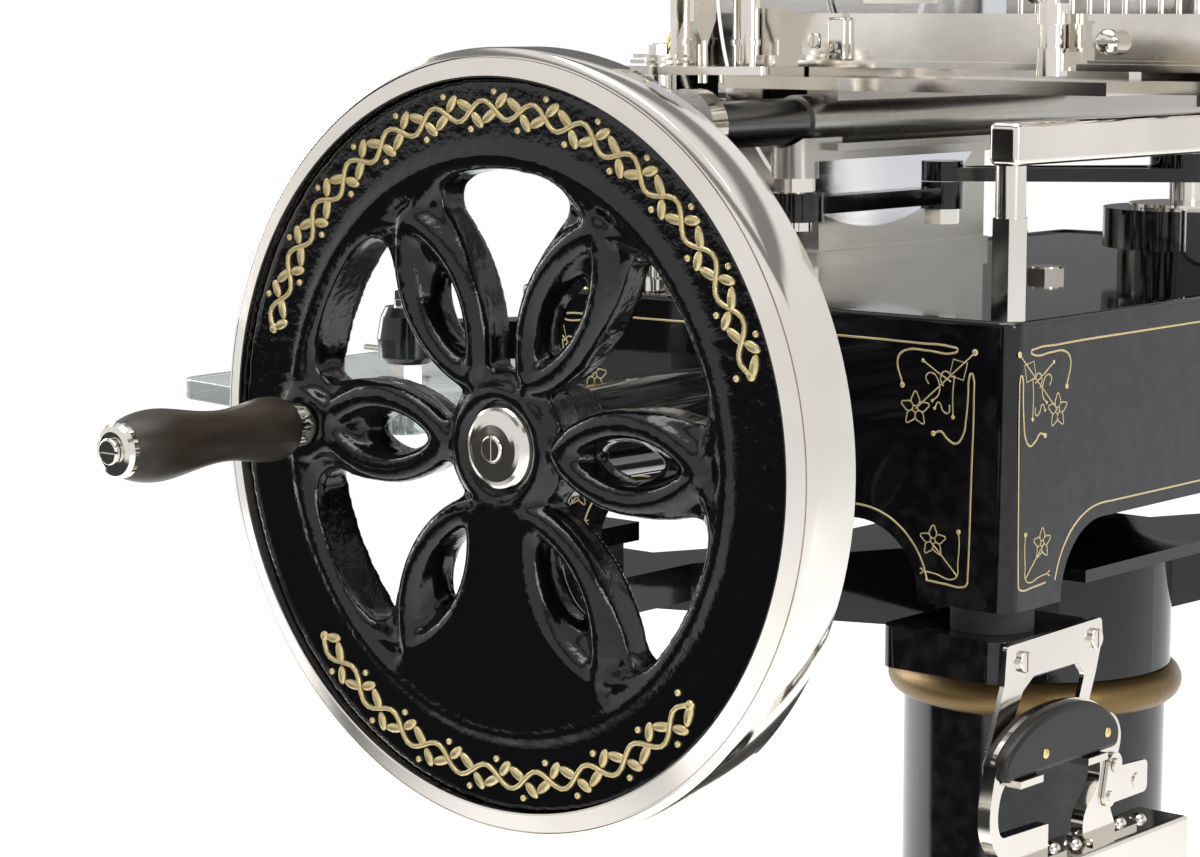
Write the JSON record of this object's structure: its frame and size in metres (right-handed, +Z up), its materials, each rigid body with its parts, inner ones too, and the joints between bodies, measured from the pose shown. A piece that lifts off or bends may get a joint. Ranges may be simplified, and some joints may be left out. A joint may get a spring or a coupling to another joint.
{
  "type": "hand crank meat slicer",
  "caption": "Hand-cranked meat slicer with an open petal flywheel, round knife, sliding carriage and meat table, gauge plate and glass tray, on a flared pedestal.",
  "frame": {"origin": "centre of the pedestal's foot, on the floor", "axes": "+X the operator's right, +Y away from the operator, +Z up"},
  "size_m": [0.6379, 1.0105, 1.423],
  "materials": {
    "enamel": "high gloss",
    "nickel": "polished nickel plate",
    "dark_steel": "fine ground and blued",
    "steel": "polished",
    "iron": "oiled",
    "gilt": "satin bronze paint",
    "brass": "polished",
    "rubber": "matt",
    "wood": "dark stained and varnished",
    "black_grip": "satin",
    "glass": "clear, polished edge",
    "stone": "rough"
  },
  "bodies": {
    "base": {"base_casting": "enamel", "rubber_pucks": "rubber", "deck_bolts": "nickel", "pedestal_head": "enamel", "pedestal_column": "enamel", "gilt_rings": "gilt", "axle_housing": "enamel", "crank_stud": "iron", "shaft_hangers": "iron", "knife_chain": "iron", "knife_arm": "nickel", "chain_case": "nickel", "gauge_rails": "nickel", "thickness_post": "nickel", "guard_stay": "brass", "blade_guard": "nickel", "guide_rod": "dark_steel", "rod_brackets": "nickel", "outer_rail": "nickel", "rail_posts": "nickel", "glass_plate": "glass", "glass_arm": "enamel", "glass_bolt": "nickel", "hanger_bracket": "nickel"},
    "wheel": {"flywheel": "enamel", "flywheel_rim": "nickel", "axle": "dark_steel", "hub_cap": "nickel", "handle_spindle": "nickel", "axle_bevels": "iron"},
    "grip": {"handle_grip": "wood", "handle_cap": "nickel"},
    "crank": {"crank_gear": "iron"},
    "cross": {"cross_shaft": "iron"},
    "knife": {"knife_spindle": "nickel", "blade": "steel"},
    "rocker": {"rocker_shaft": "nickel", "rocker_collar": "enamel", "rocker_arm": "enamel", "slotted_lever": "iron"},
    "carriage": {"carriage_saddle": "nickel", "lug_pin": "nickel", "cross_bed": "nickel"},
    "roller": {"rail_roller": "nickel"},
    "link": {"connecting_rod": "enamel", "rod_nut": "nickel"},
    "table": {"meat_table": "nickel", "beam_screws": "nickel"},
    "clamp": {"clamp_arm": "nickel"},
    "latch": {"release_lever": "nickel", "release_grip": "black_grip"},
    "press": {"meat_press": "nickel"},
    "press_screw": {"press_knob": "nickel"},
    "gauge": {"gauge_plate": "nickel"},
    "thickness": {"thickness_lever": "nickel"},
    "sharpener": {"sharpener_hood": "enamel"},
    "stone": {"sharpening_stone": "stone"},
    "pusher": {"pusher_body": "nickel", "pusher_grips": "black_grip"},
    "catch": {"pusher_catch": "nickel"}
  },
  "joints": [
    {"name": "flywheel_spin", "type": "hinge", "parent": "base", "child": "wheel", "pos_m": [0, -0.4, 0.896], "axis": [0, 1, 0], "continuous": true},
    {"name": "grip_spin", "type": "hinge", "parent": "wheel", "child": "grip", "pos_m": [-0.148, -0.6, 0.896], "axis": [0, 1, 0], "continuous": true},
    {"name": "crank_gear_spin", "type": "hinge", "parent": "base", "child": "crank", "pos_m": [0, 0.058, 0.86], "axis": [0, 0, 1], "continuous": true},
    {"name": "cross_spin", "type": "hinge", "parent": "base", "child": "cross", "pos_m": [-0.1, -0.0474, 0.896], "axis": [1, 0, 0], "continuous": true},
    {"name": "knife_spin", "type": "hinge", "parent": "base", "child": "knife", "pos_m": [-0.104, -0.0474, 1.155], "axis": [1, 0, 0], "continuous": true},
    {"name": "carriage_slide", "type": "slide", "parent": "base", "child": "carriage", "axis": [0, 1, 0], "range_m": [0, 0.208]},
    {"name": "rocker_swing", "type": "hinge", "parent": "base", "child": "rocker", "pos_m": [0.075, 0.058, 0.9], "axis": [0, 0, 1], "range_deg": [-80, 0]},
    {"name": "roller_spin", "type": "hinge", "parent": "carriage", "child": "roller", "pos_m": [0.173, -0.072, 1.07855], "axis": [1, 0, 0], "continuous": true},
    {"name": "link_swing", "type": "hinge", "parent": "carriage", "child": "link", "pos_m": [-0.05, -0.208, 1.008], "axis": [0, 0, 1], "range_deg": [0, 13.2]},
    {"name": "table_slide", "type": "slide", "parent": "carriage", "child": "table", "axis": [1, 0, 0], "range_m": [0, 0.12]},
    {"name": "clamp_swing", "type": "hinge", "parent": "table", "child": "clamp", "pos_m": [-0.085, -0.212, 1.15], "axis": [0, 0, 1], "range_deg": [-70, 15]},
    {"name": "latch_turn", "type": "hinge", "parent": "table", "child": "latch", "pos_m": [0.1365, -0.2072, 1.128], "axis": [0, 0, 1], "range_deg": [-60, 60]},
    {"name": "press_slide", "type": "slide", "parent": "table", "child": "press", "axis": [0, 0, 1], "range_m": [-0.085, 0]},
    {"name": "press_screw_turn", "type": "hinge", "parent": "press", "child": "press_screw", "pos_m": [0.09, 0.114, 1.243], "axis": [1, 0, 0], "range_deg": [-90, 90]},
    {"name": "gauge_slide", "type": "slide", "parent": "base", "child": "gauge", "axis": [-1, 0, 0], "range_m": [0, 0.01]},
    {"name": "thickness_turn", "type": "hinge", "parent": "base", "child": "thickness", "pos_m": [-0.092, -0.291, 1.093], "axis": [0, 0, 1], "range_deg": [0, 13.5]},
    {"name": "sharpener_drop", "type": "slide", "parent": "base", "child": "sharpener", "axis": [0, 0, -1], "range_m": [0, 0.011]},
    {"name": "stone_spin", "type": "hinge", "parent": "sharpener", "child": "stone", "pos_m": [-0.109, -0.0474, 1.344], "axis": [1, 0, 0], "continuous": true},
    {"name": "pusher_lift_off", "type": "slide", "parent": "base", "child": "pusher", "axis": [1, 0, 0], "range_m": [0, 0.08]},
    {"name": "catch_turn", "type": "hinge", "parent": "pusher", "child": "catch", "pos_m": [0.205, -0.235, 0.697], "axis": [1, 0, 0], "range_deg": [0, 30]}
  ],
  "couplings": [
    {"joint": "crank_gear_spin", "follows": "flywheel_spin", "ratio": -1},
    {"joint": "cross_spin", "follows": "flywheel_spin", "ratio": -1.6667},
    {"joint": "knife_spin", "follows": "flywheel_spin", "ratio": -3.3333},
    {"joint": "rocker_swing", "follows": "carriage_slide", "rad_per_m": -6.679},
    {"joint": "roller_spin", "follows": "carriage_slide", "rad_per_m": -105.26},
    {"joint": "thickness_turn", "follows": "gauge_slide", "rad_per_m": 23.256}
  ]
}
